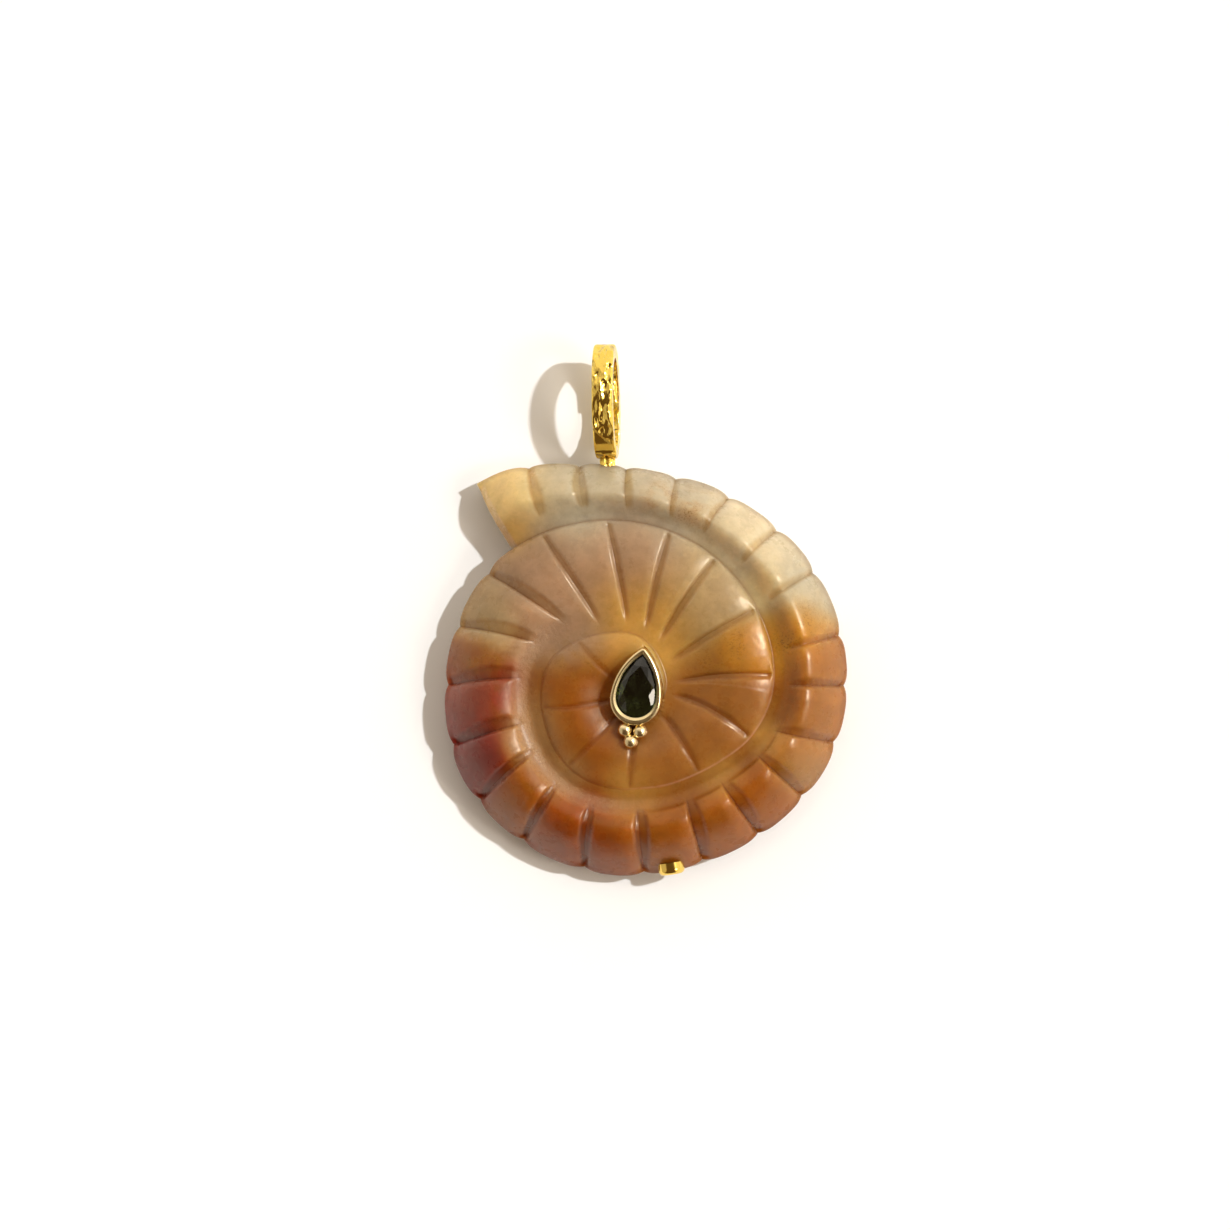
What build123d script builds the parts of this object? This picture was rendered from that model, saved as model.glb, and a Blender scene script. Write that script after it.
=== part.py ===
from build123d import *
import math
import os
from bisect import bisect_right
from collections import namedtuple

os.makedirs("parts", exist_ok=True)

# An ammonite pendant lying face up. The origin is on the flat back, under the centre
# of the spiral: +X to the right, +Y towards the bail, +Z towards the viewer.
# Lengths are in millimetres. Turns are in degrees, clockwise from the shell's lip.

# Shell
shell_reach = 28.8        # spiral centre to the lip's outer corner
shell_thickness = 8.0     # flat back to the highest crest
lip_bearing = 128.0       # direction of the lip, counterclockwise from +X
lip_lean = -3.5           # lean of the lip's edge, degrees
lobes_end = 790.0         # turn where the last faint lobe ends
lip_bevel = 0.8           # width of the bevel along the lip
lip_drop = 0.9            # how far that bevel falls
scallop_depth = 0.42      # how far the outline dips at each groove
groove_depth = 0.75       # groove bottom below the lobes beside it
slope_power = 1.6         # shape of the slope from the whorl's edge to its crest
back_round = 1.3          # width of the rounding around the back

# Bail: an oval ring square to the shell, leaning forwards, its lower rear part a gate
bail_offset = -3.3        # X of the ring's middle
bail_height = 12.6        # foot to top of the ring
bail_depth = 8.0          # front to rear of the ring
bail_lean = 14.0          # degrees, the ring's top leans towards the viewer
band_width = 2.3          # along X
wall_front = 0.8
wall_rear = 1.6
wall_top = 1.4
wall_foot = 1.5
band_round = 0.28
collar_diameter = 1.7
collar_height = 0.95
collar_flutes = 10
post_diameter = 1.1
post_height = 3.3         # axis of the post above the back
post_tilt = 9.1           # degrees off -Y, towards +X
cap_diameter = 2.9
cap_thickness = 1.3
cap_sink = 1.0            # how deep the cap sits in the shell's edge
collar_sink = 0.3         # how deep the collar sits in the shell's edge

# Gate, its hinge and its catch
hinge_angle = 50.0        # degrees round the ring, from the rear towards the foot
knuckle_diameter = 1.8
knuckle_width = 0.7
pin_diameter = 0.5
catch_share = 0.456       # joint of gate and arm above the foot, as a share of the ring's height
catch_thick = 0.6         # how far the arm thickens inwards at the catch
catch_taper = 2.6         # length of that thickening
tongue_width = 0.8
tongue_thick = 0.5
tongue_length = 0.5

# Bezel, granules and stone
bezel_x = 0.54
bezel_y = 0.72
bezel_lean = -9.3         # degrees, the pear's tip leans towards +X
bezel_seat = 6.8          # Z of the flat pocket that the bezel stands in
bezel_width = 5.55
bezel_length = 8.5
bezel_height = 2.0
bezel_wall = 0.35
rim_cover = 0.22          # how far the burnished rim reaches over the stone
rim_height = 0.55         # rim above the stone's girdle
rim_slope = 0.22          # width and fall of the slope inside the rim
floor_thickness = 0.25
tip_round = 0.4
granule_diameter = 1.6
peg_diameter = 1.2
peg_length = 1.15
crown_height = 0.5
girdle_height = 0.15
pavilion_depth = 0.95

# Clearances
running_gap = 0.06        # between gate and ring, and round the pin in the gate
seat_gap = 0.04           # between pieces that are set or pressed together

# The spiral's edge: its radius at each turn, as a share of shell_reach. Over the
# first turn this is the outline, and after it the seam between one whorl and the next.
Edge = namedtuple("Edge", "turn radius")
SPIRAL = [
    Edge(0, 1.000), Edge(7, 0.977), Edge(15, 0.934), Edge(24, 0.889), Edge(34, 0.856),
    Edge(45, 0.832), Edge(58, 0.825), Edge(70, 0.816), Edge(85, 0.816), Edge(100, 0.809),
    Edge(118, 0.797), Edge(133, 0.785), Edge(150, 0.764), Edge(168, 0.727), Edge(188, 0.698),
    Edge(206, 0.688), Edge(225, 0.698), Edge(245, 0.712), Edge(265, 0.729), Edge(283, 0.745),
    Edge(302, 0.738), Edge(320, 0.734), Edge(338, 0.733), Edge(350, 0.729), Edge(357.5, 0.715),
    Edge(367, 0.696), Edge(378, 0.674), Edge(399, 0.639), Edge(423, 0.601), Edge(450, 0.561),
    Edge(473, 0.538), Edge(489, 0.517), Edge(510, 0.465), Edge(524, 0.420), Edge(541, 0.384),
    Edge(558, 0.368), Edge(575, 0.361), Edge(608, 0.377), Edge(626, 0.373), Edge(649, 0.358),
    Edge(680, 0.349), Edge(694, 0.330), Edge(709, 0.292), Edge(730, 0.252), Edge(761, 0.215),
    Edge(778, 0.184), Edge(801, 0.149), Edge(827, 0.128), Edge(900, 0.090), Edge(960, 0.056),
]

# Heights of the whorl's outer edge and of its crest as shares of shell_thickness, where
# the crest lies as a share of the way across the whorl, and how full the slope up to it is.
Relief = namedtuple("Relief", "turn edge crest crest_at fullness")
RELIEF = [
    Relief(0, 0.34, 0.62, 0.50, 1.0), Relief(9, 0.44, 0.84, 0.50, 1.0), Relief(22, 0.46, 0.94, 0.51, 1.0),
    Relief(60, 0.43, 0.97, 0.52, 1.0), Relief(120, 0.38, 0.99, 0.53, 1.0), Relief(180, 0.35, 1.00, 0.54, 1.0),
    Relief(240, 0.34, 1.00, 0.55, 1.0), Relief(290, 0.38, 1.00, 0.55, 1.0), Relief(325, 0.43, 1.00, 0.53, 1.0),
    Relief(345, 0.46, 1.00, 0.50, 1.0), Relief(357.5, 0.60, 1.00, 0.44, 1.2), Relief(375, 0.80, 1.00, 0.38, 1.6),
    Relief(450, 0.83, 1.00, 0.36, 1.6), Relief(540, 0.84, 1.00, 0.35, 1.6), Relief(620, 0.85, 0.99, 0.38, 1.6),
    Relief(700, 0.86, 0.97, 0.42, 1.6), Relief(780, 0.87, 0.95, 0.40, 1.6), Relief(830, 0.87, 0.93, 0.40, 1.6),
    Relief(960, 0.86, 0.86, 0.50, 1.6),
]

# Grooves between the lobes: the turn at the whorl's outer edge, the lean towards its
# inner edge in degrees, and the depth as a share of groove_depth.
Groove = namedtuple("Groove", "turn lean depth")
GROOVES = [
    Groove(12.0, -3, 0.8), Groove(23.5, -1, 0.9), Groove(35.0, 1, 0.9), Groove(48.2, 2, 1.0),
    Groove(63.2, -2, 1.0), Groove(78.8, -1, 1.0), Groove(93.8, 0, 1.0), Groove(112.3, 0, 1.0),
    Groove(126.1, -1, 1.0), Groove(142.2, 1, 1.0), Groove(160.1, -7, 1.0), Groove(177.5, -5, 1.0),
    Groove(197.0, -7, 1.0), Groove(216.2, -1, 1.0), Groove(235.1, 5, 1.0), Groove(256.0, 3, 1.0),
    Groove(273.9, 5, 1.0), Groove(292.1, 1, 1.0), Groove(310.1, 7, 1.0), Groove(328.1, 9, 1.0),
    Groove(346.4, 8, 0.9), Groove(367.5, 4, 0.9), Groove(389.2, 3, 1.0), Groove(410.5, -3, 1.0),
    Groove(429.5, -6, 0.9), Groove(453.9, -7, 1.0), Groove(480.8, -9, 1.0), Groove(509.0, -20, 0.9),
    Groove(538.7, -14, 0.7), Groove(580.6, -3, 0.6), Groove(620.0, -6, 0.4), Groove(658.9, -10, 0.4),
    Groove(711.0, -8, 0.4),
]

LOBE_ENDS = [Groove(0, lip_lean, 0)] + GROOVES + [Groove(lobes_end, 0, 0)]
whorl_turn = 357.5                                     # turn where the lip meets the next whorl
groove_reach = 0.80                                    # share of the whorl's width that grooves cross
smooth_from = 735.0                                    # turn from which the whorl has no columns by lobe
channel_start = 0.90                                   # share of the width where the smooth channel lies
ACROSS = (0.0, 0.02, 0.07, 0.16, 0.30, 0.48, 0.64, 0.78, 0.90)
ALONG_LOBE = (0.0, 0.07, 0.25, 0.5, 0.75, 0.93)
WALL = ((0.10, 0.66), (0.30, 0.30), (0.62, 0.09), (1.0, 0.0))  # inset share, height share


def row_before(table, turn):
    """Index of the last row, but one at most, that starts at or before a turn."""
    return min(max(bisect_right(table, turn, key=lambda row: row.turn) - 1, 0), len(table) - 2)


def table_value(table, column, turn):
    """Smooth value of one column of a table at a turn: a cubic through its rows."""
    last = len(table) - 1
    i = row_before(table, turn)
    rows = [table[min(max(k, 0), last)] for k in (i - 1, i, i + 1, i + 2)]
    (t0, v0), (t1, v1), (t2, v2), (t3, v3) = [(row.turn, getattr(row, column)) for row in rows]
    span = t2 - t1
    slope1 = (v2 - v0) / (t2 - t0) * span
    slope2 = (v3 - v1) / (t3 - t1) * span
    s = min(max((turn - t1) / span, 0.0), 1.0)
    return (
        v1 * (1 + 2 * s) * (1 - s) ** 2
        + slope1 * s * (1 - s) ** 2
        + v2 * s * s * (3 - 2 * s)
        + slope2 * s * s * (s - 1)
    )


def ease(share):
    share = min(max(share, 0.0), 1.0)
    return share * share * (3 - 2 * share)


def groove_share(turn):
    """How far a turn lies down a groove: 0 over the middle of a lobe, up to a groove's depth share."""
    i = row_before(LOBE_ENDS, turn)
    start, end = LOBE_ENDS[i], LOBE_ENDS[i + 1]
    s = min(max((turn - start.turn) / (end.turn - start.turn), 0.0), 1.0)
    depth = start.depth if s < 0.5 else end.depth
    return depth * abs(2 * s - 1) ** 4


def edge_radius(turn):
    """Radius of the spiral's edge, with the scallops of the outline."""
    smooth = shell_reach * table_value(SPIRAL, "radius", turn)
    outline = ease((whorl_turn - 4 - turn) / 4)
    return smooth - scallop_depth * outline * groove_share(turn)


def lean_at(turn):
    """Lean of the line across the whorl at a turn, in degrees: grooves run along these lines."""
    return table_value(LOBE_ENDS, "lean", turn)


def shell_point(turn, across):
    """Point of the shell's face at a turn and a share of the whorl's width."""
    last_turn = SPIRAL[-1].turn
    outer = edge_radius(turn)
    lean = lean_at(turn)
    inner_turn = min(turn + 360 + lean, last_turn)
    inner = edge_radius(inner_turn)
    radius = outer + (inner - outer) * across
    edge, crest, crest_at, fullness = (table_value(RELIEF, name, turn) for name in Relief._fields[1:])
    floor = table_value(RELIEF, "edge", inner_turn)
    if across < crest_at:
        height = edge + (crest - edge) * (1 - (1 - across / crest_at) ** slope_power) ** (1 / fullness)
    else:
        height = crest + (floor - crest) * ease((across - crest_at) / (channel_start - crest_at))
    height *= shell_thickness
    height -= groove_depth * groove_share(turn) * ease(across / 0.08) * ease((groove_reach - across) / 0.25)
    bevel_turn = math.degrees(lip_bevel / radius)
    height -= lip_drop * max(0.0, 1 - turn / bevel_turn) * min(1.0, across / 0.1)
    bearing = math.radians(lip_bearing - turn - lean * across)
    return (radius * math.cos(bearing), radius * math.sin(bearing), height)


def wall_point(turn, across, inset, height):
    """Point on the shell's side wall, moved inwards by inset."""
    lead = math.degrees(inset / shell_reach)
    if across == 0:
        turn_in = turn + lead * max(0.0, 1 - turn / 12)
        radius = edge_radius(turn) - inset
    else:
        turn_in = lead + lean_at(0) * across
        radius = edge_radius(0) - inset + (edge_radius(whorl_turn) - edge_radius(0)) * across
    bearing = math.radians(lip_bearing - turn_in)
    return (radius * math.cos(bearing), radius * math.sin(bearing), height)


def columns():
    """Turns at which the shell is measured: six to each lobe, then evenly to the centre."""
    stops = [row.turn for row in LOBE_ENDS[:-1]] + [smooth_from]
    turns = [a + (b - a) * s for a, b in zip(stops, stops[1:]) for s in ALONG_LOBE]
    last_turn = SPIRAL[-1].turn
    turns += [smooth_from + (last_turn - smooth_from) * k / 15 for k in range(16)]
    fixed = [0.0, math.degrees(lip_bevel / shell_reach), whorl_turn]
    return sorted(fixed + [t for t in turns if min(abs(t - f) for f in fixed) > 0.8])


def zip_rows(row_a, keys_a, row_b, keys_b):
    """Triangles between two rows of points, each in order of its keys."""
    i = j = 0
    triangles = []
    while i < len(row_a) - 1 or j < len(row_b) - 1:
        step_a = j == len(row_b) - 1 or (i < len(row_a) - 1 and keys_a[i + 1] <= keys_b[j + 1])
        if step_a:
            triangles.append((row_a[i], row_a[i + 1], row_b[j]))
            i += 1
        else:
            triangles.append((row_a[i], row_b[j + 1], row_b[j]))
            j += 1
    return triangles


def shell_triangles():
    turns = columns()
    last_turn = SPIRAL[-1].turn
    grid = [[shell_point(turn, across) for across in ACROSS] for turn in turns]
    triangles = []
    for a, b in zip(grid, grid[1:]):
        for k in range(len(ACROSS) - 1):
            triangles += [(a[k], b[k], b[k + 1]), (a[k], b[k + 1], a[k + 1])]
    # each whorl's inner row is joined to the outer edge of the next whorl
    split = max(i for i, turn in enumerate(turns) if turn <= last_turn - 366)
    seam = turns.index(whorl_turn)
    inner_keys = [turn + 360 + lean_at(turn) * ACROSS[-1] for turn in turns[: split + 1]]
    inner_row = [column[-1] for column in grid[: split + 1]]
    triangles += zip_rows(inner_row, inner_keys, [column[0] for column in grid[seam:]], turns[seam:])
    hub = (0.0, 0.0, grid[-1][0][2])
    loop = [grid[-1][0]] + [column[-1] for column in grid[split:]]
    triangles += [(a, b, hub) for a, b in zip(loop, loop[1:])]
    # side wall, from the rim and the lip down to the back
    rim = [(turn, 0.0) for turn in turns[: seam + 1]] + [(0.0, t) for t in reversed(ACROSS[1:])]
    ring = [column[0] for column in grid[: seam + 1]] + list(reversed(grid[0][1:]))
    edge_height = RELIEF[0].edge * shell_thickness
    for inset, height in WALL:
        lower = [wall_point(turn, t, inset * back_round, height * edge_height) for turn, t in rim]
        for i in range(len(ring)):
            j = (i + 1) % len(ring)
            triangles += [(ring[j], ring[i], lower[i]), (ring[j], lower[i], lower[j])]
        ring = lower
    return triangles, ring


def is_real(triangle):
    a, b, c = (Vector(*p) for p in triangle)
    return (b - a).cross(c - a).length > 1e-7


def edge_distance(x, y, step_x, step_y):
    """Distance from a point inside the shell's outline to that outline, along a direction."""
    near, far = 0.0, 2 * shell_reach
    while far - near > 1e-4:
        middle = (near + far) / 2
        px, py = x + step_x * middle, y + step_y * middle
        turn = (lip_bearing - math.degrees(math.atan2(py, px))) % 360
        if math.hypot(px, py) < edge_radius(turn):
            near = middle
        else:
            far = middle
    return near


# Places that follow from the sizes
collar_foot = edge_distance(bail_offset, 0, 0, 1) - collar_sink
ring_foot = collar_foot + collar_height
post_x = math.sin(math.radians(post_tilt))
post_y = -math.cos(math.radians(post_tilt))
post_plane = Plane(origin=(bail_offset, collar_foot, post_height), x_dir=(0, 0, 1), z_dir=(post_x, post_y, 0))
cap_seat = edge_distance(bail_offset, collar_foot, post_x, post_y) - cap_sink
cap_bore = cap_thickness / 2

# The ring's own plane: its x runs from the foot up the ring, its y towards the viewer
lean = math.radians(bail_lean)
ring_plane = Plane(
    origin=(bail_offset, ring_foot, post_height),
    x_dir=(0, math.cos(lean), math.sin(lean)),
    z_dir=(1, 0, 0),
)
catch_height = catch_share * bail_height
hole_height = bail_height - wall_top - wall_foot
hole_depth = bail_depth - wall_front - wall_rear
hole_x = wall_foot + hole_height / 2
hole_y = (wall_rear - wall_front) / 2
rear = -bail_depth / 2
rear_inside = rear + wall_rear
# hinge on the middle line of the wall, and the catch straight above it
middle_height = (bail_height + hole_height) / 4
middle_depth = (bail_depth + hole_depth) / 4
hinge_sin = math.sin(math.radians(hinge_angle))
hinge_cos = math.cos(math.radians(hinge_angle))
hinge_x = (bail_height / 2 + hole_x) / 2 - middle_height * hinge_sin
hinge_y = hole_y / 2 - middle_depth * hinge_cos
# the gate ends on a cut square to the band through the hinge
band_angle = math.degrees(math.atan2(middle_depth * hinge_sin, middle_height * hinge_cos))
cut_x = math.sin(math.radians(band_angle)) * (wall_rear + wall_foot) / 2
cut_y = math.cos(math.radians(band_angle)) * (wall_rear + wall_foot) / 2
inner_corner = (hinge_x + cut_x, hinge_y + cut_y)
outer_corner = (hinge_x - cut_x, hinge_y - cut_y)
rear_corner = (outer_corner[0], rear - wall_rear)
knuckle_radius = knuckle_diameter / 2


def bezel_plane(z):
    tilt = math.radians(bezel_lean)
    return Plane(origin=(bezel_x, bezel_y, z), x_dir=(math.cos(tilt), math.sin(tilt), 0), z_dir=(0, 0, 1))


def pear_point(width, length, k):
    """Point k of sixteen round a pear of this width and length: 0 at the tip, 8 at the round end."""
    side = 1 if k <= 8 else -1
    k = k if k <= 8 else 16 - k
    radius = width / 2
    rise = length - radius
    flank = (radius**2 + rise**2) / (2 * radius)
    if k <= 4:
        angle = math.atan2(rise, flank - radius) * (1 - k / 4)
        x, y = radius - flank + flank * math.cos(angle), flank * math.sin(angle)
    else:
        angle = math.radians(-22.5 * (k - 4))
        x, y = radius * math.cos(angle), radius * math.sin(angle)
    return (side * x, y - (length / 2 - radius))


def pear(width, length, round_by=0.0):
    """Pear outline: two flanks that meet at the tip, and a round end."""
    with BuildSketch() as outline:
        with BuildLine():
            ThreePointArc(*[pear_point(width, length, k) for k in (0, 2, 4)])
            ThreePointArc(*[pear_point(width, length, k) for k in (4, 8, 12)])
            ThreePointArc(*[pear_point(width, length, k) for k in (12, 14, 0)])
        make_face()
        if round_by:
            fillet(outline.vertices().sort_by(Axis.Y)[-1], round_by)
    return outline.sketch


bezel_base = bezel_seat + seat_gap
bezel_top = bezel_base + bezel_height
girdle_top = bezel_top - rim_height
girdle_foot = girdle_top - girdle_height
ledge_drop = pavilion_depth / 4
stone_width = bezel_width - 2 * (bezel_wall + seat_gap)
stone_length = bezel_length - 2.6 * (bezel_wall + seat_gap)
open_width = stone_width - 2 * rim_cover
open_length = stone_length - 2.6 * rim_cover

# The opening over the stone: it closes from the girdle to the rim, then flares
Ring = namedtuple("Ring", "z width length")
RIM = [
    Ring(girdle_top, stone_width + 2 * seat_gap, stone_length + 5 * seat_gap),
    Ring(bezel_top - rim_slope, open_width, open_length),
    Ring(bezel_top, open_width + 2 * rim_slope, open_length + 2.6 * rim_slope),
]

# Granules: place across and along the pear's axis from its round end, in bezel widths
GRANULES = [(-0.114, -0.116), (0.183, -0.100), (0.032, -0.322)]
granule_radius = granule_diameter / 2
granules = [(x * bezel_width, y * bezel_width - bezel_length / 2) for x, y in GRANULES]


def surface_height(x, y):
    """Height of the shell's face at a place near the bezel."""
    bearing = lip_bearing - math.degrees(math.atan2(y, x))
    radius = math.hypot(x, y)
    turn = bearing % 360 + 360
    last_turn = SPIRAL[-1].turn
    while turn + 360 < last_turn and edge_radius(turn + 360) > radius:
        turn += 360
    outer, inner = edge_radius(turn), edge_radius(min(turn + 360 + lean_at(turn), last_turn))
    return shell_point(turn, (outer - radius) / (outer - inner))[2]


def on_shell(place):
    spot = bezel_plane(0).from_local_coords(Vector(place[0], place[1], 0))
    return surface_height(spot.X, spot.Y)


granule_z = max(on_shell(place) for place in granules) + granule_radius
granule_spots = [bezel_plane(granule_z).from_local_coords(Vector(x, y, 0)) for x, y in granules]


# Shell
with BuildPart() as shell_cuts:
    with BuildSketch(post_plane.offset(-collar_height)):
        Circle(post_diameter / 2 + seat_gap)
    extrude(amount=collar_height + cap_seat + cap_sink)
    with BuildSketch(post_plane.offset(cap_seat)):
        Circle(cap_diameter / 2 + seat_gap)
    extrude(amount=2 * cap_thickness)
    with BuildSketch(Plane.XZ.offset(seat_gap - collar_foot)):
        with Locations((bail_offset, post_height)):
            Circle(collar_diameter / 2 + 2 * seat_gap)
    extrude(amount=-2 * collar_height)
    with BuildSketch(bezel_plane(bezel_seat)):
        add(pear(bezel_width + 2 * seat_gap, bezel_length + 4 * seat_gap, tip_round))
    extrude(amount=bezel_height)
    with BuildSketch(bezel_plane(bezel_seat)):
        Circle(peg_diameter / 2 + seat_gap)
    extrude(amount=-peg_length - seat_gap)
    with Locations(granule_spots):
        Sphere(granule_radius + seat_gap)

with BuildPart() as shell:
    triangles, back = shell_triangles()
    faces = [Face(Wire.make_polygon(t)) for t in triangles if is_real(t)]
    faces.append(Face(Wire.make_polygon(back)))
    add(Solid(Shell(faces)))
    add(shell_cuts.part, mode=Mode.SUBTRACT)

shell.part.label = "shell"
export_step(shell.part, "parts/shell.step")

# Bail
with BuildPart() as ring:
    with BuildSketch(ring_plane):
        with Locations((bail_height / 2, 0)):
            Ellipse(bail_height / 2, bail_depth / 2)
    extrude(amount=band_width / 2, both=True)
    fillet(ring.edges(), band_round)
    with BuildSketch(ring_plane):
        with Locations((hole_x, hole_y)):
            Ellipse(hole_height / 2, hole_depth / 2)
    extrude(amount=band_width, both=True, mode=Mode.SUBTRACT)

with BuildPart() as gate_zone:
    with BuildSketch(ring_plane):
        with BuildLine():
            Polyline(
                inner_corner,
                outer_corner,
                rear_corner,
                (catch_height, rear_corner[1]),
                (catch_height, inner_corner[1]),
                close=True,
            )
        make_face()
    extrude(amount=band_width, both=True)

with BuildPart() as bail:
    add(ring.part)
    add(gate_zone.part, mode=Mode.SUBTRACT)
    # the arm thickens inwards to the catch, where the gate's tongue enters it
    with BuildSketch(ring_plane):
        with BuildLine():
            Polyline(
                (catch_height, rear + wall_rear / 2),
                (catch_height, rear_inside + catch_thick),
                (catch_height + catch_taper, rear_inside + catch_thick / 4),
                (catch_height + catch_taper, rear + wall_rear / 2),
                close=True,
            )
        make_face()
    extrude(amount=band_width / 2 - band_round / 2, both=True)
    with BuildSketch(ring_plane):
        with Locations((catch_height, rear_inside)):
            slot_depth = wall_rear + running_gap
            Rectangle(tongue_length + running_gap, slot_depth, align=(Align.MIN, Align.MAX))
    extrude(amount=tongue_width / 2 + running_gap, both=True, mode=Mode.SUBTRACT)
    # two ears carry the hinge pin, with room between them for the gate's knuckle
    with BuildSketch(ring_plane):
        with Locations((hinge_x, hinge_y)):
            Circle(knuckle_radius)
    extrude(amount=band_width / 2, both=True)
    with BuildSketch(ring_plane):
        with Locations((hinge_x, hinge_y)):
            Circle(knuckle_radius + running_gap)
    extrude(amount=knuckle_width / 2 + running_gap, both=True, mode=Mode.SUBTRACT)
    with BuildSketch(ring_plane):
        with Locations((hinge_x, hinge_y)):
            Circle(pin_diameter / 2 + seat_gap / 2)
    extrude(amount=band_width, both=True, mode=Mode.SUBTRACT)
    # fluted collar
    with BuildSketch(Plane.XZ.offset(-ring_foot - wall_foot / 4)):
        with Locations((bail_offset, post_height)):
            Circle(collar_diameter / 2 * 0.88)
            flute = collar_diameter * math.pi / collar_flutes / 2
            with PolarLocations(collar_diameter / 2 - flute / 2, collar_flutes):
                Circle(flute / 2)
    extrude(amount=collar_height + wall_foot / 4)
    # straight post
    with BuildSketch(post_plane.offset(-collar_height / 3)):
        Circle(post_diameter / 2)
    extrude(amount=cap_seat + cap_bore - seat_gap + collar_height / 3)

bail.part.label = "bail"
export_step(bail.part, "parts/bail.step")

with BuildPart() as bail_gate:
    add(ring.part)
    add(gate_zone.part, mode=Mode.INTERSECT)
    # running gap at the catch, and round the two ears
    with BuildSketch(ring_plane):
        with Locations((catch_height, 0)):
            Rectangle(running_gap, bail_depth, align=(Align.MAX, Align.MAX))
    extrude(amount=band_width, both=True, mode=Mode.SUBTRACT)
    with BuildSketch(ring_plane):
        with Locations((hinge_x, hinge_y)):
            Circle(knuckle_radius + running_gap)
    extrude(amount=band_width, both=True, mode=Mode.SUBTRACT)
    # knuckle, and the neck that joins it to the gate's arm
    with BuildSketch(ring_plane):
        with Locations(Location((hinge_x, hinge_y), -band_angle)):
            Circle(knuckle_radius)
            Rectangle(knuckle_radius + 4 * running_gap, wall_rear * 0.6, align=(Align.MIN, Align.CENTER))
    extrude(amount=knuckle_width / 2, both=True)
    with BuildSketch(ring_plane):
        with Locations((hinge_x, hinge_y)):
            Circle(pin_diameter / 2 + running_gap)
    extrude(amount=band_width, both=True, mode=Mode.SUBTRACT)
    # tongue at the tip
    with BuildSketch(ring_plane):
        with Locations((catch_height + tongue_length, rear_inside - running_gap)):
            Rectangle(2 * tongue_length, tongue_thick, align=(Align.MAX, Align.MAX))
    extrude(amount=tongue_width / 2, both=True)

bail_gate.part.label = "bail_gate"
export_step(bail_gate.part, "parts/bail_gate.step")

with BuildPart() as hinge_pin:
    with BuildSketch(ring_plane):
        with Locations((hinge_x, hinge_y)):
            Circle(pin_diameter / 2)
    extrude(amount=band_width / 2, both=True)

hinge_pin.part.label = "hinge_pin"
export_step(hinge_pin.part, "parts/hinge_pin.step")

# End cap
with BuildPart() as end_cap:
    with BuildSketch(post_plane.offset(cap_seat + seat_gap)):
        Circle(cap_diameter / 2)
    extrude(amount=cap_thickness)
    crown_edge = end_cap.faces().sort_by(Axis.Y)[0].edges()
    fillet(crown_edge, cap_thickness * 0.45)
    with BuildSketch(post_plane.offset(cap_seat + seat_gap)):
        Circle(post_diameter / 2 + seat_gap)
    extrude(amount=cap_bore, mode=Mode.SUBTRACT)

end_cap.part.label = "end_cap"
export_step(end_cap.part, "parts/end_cap.step")

# Bezel and stone
with BuildPart() as bezel:
    with BuildSketch(bezel_plane(bezel_base)):
        add(pear(bezel_width, bezel_length, tip_round))
    extrude(amount=bezel_height)
    fillet(bezel.faces().sort_by(Axis.Z)[-1].edges(), bezel_wall * 0.75)
    # the stone's seat, the cavity under it and the burnished rim over it
    with BuildSketch(bezel_plane(girdle_foot - ledge_drop)):
        add(pear(stone_width + 2 * seat_gap, stone_length + 5 * seat_gap))
    extrude(amount=girdle_height + ledge_drop, mode=Mode.SUBTRACT)
    with BuildSketch(bezel_plane(girdle_foot)):
        add(pear(open_width, open_length))
    extrude(amount=bezel_base + floor_thickness - girdle_foot, mode=Mode.SUBTRACT)
    for lower, upper in zip(RIM, RIM[1:]):
        for ring in (lower, upper):
            with BuildSketch(bezel_plane(ring.z)):
                add(pear(ring.width, ring.length))
        loft(mode=Mode.SUBTRACT)
    # three granules, soldered where they run into the bezel and each other
    with Locations(granule_spots):
        Sphere(granule_radius)
    # hidden peg
    with BuildSketch(bezel_plane(bezel_base + floor_thickness / 2)):
        Circle(peg_diameter / 2)
    extrude(amount=-peg_length - floor_thickness / 2)

bezel.part.label = "bezel"
export_step(bezel.part, "parts/bezel.step")


def stone_ring(share, z, points):
    """Points of the pear at a share of the stone's outline, in the bezel's place."""
    flat = [pear_point(stone_width * share, stone_length * share, k) for k in points]
    return [tuple(bezel_plane(z).from_local_coords(Vector(x, y, 0))) for x, y in flat]


corners = range(0, 16, 2)
middles = range(1, 16, 2)
table = stone_ring(0.58, girdle_top + crown_height, corners)
star = stone_ring(0.80, girdle_top + crown_height * 0.62, middles)
girdle = stone_ring(1.0, girdle_top, range(16))
lower_girdle = stone_ring(1.0, girdle_foot, range(16))
pavilion = stone_ring(0.55, girdle_foot - pavilion_depth * 0.52, middles)
culet = tuple(bezel_plane(girdle_foot - pavilion_depth).from_local_coords(Vector(0, -bezel_width / 5, 0)))

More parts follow.
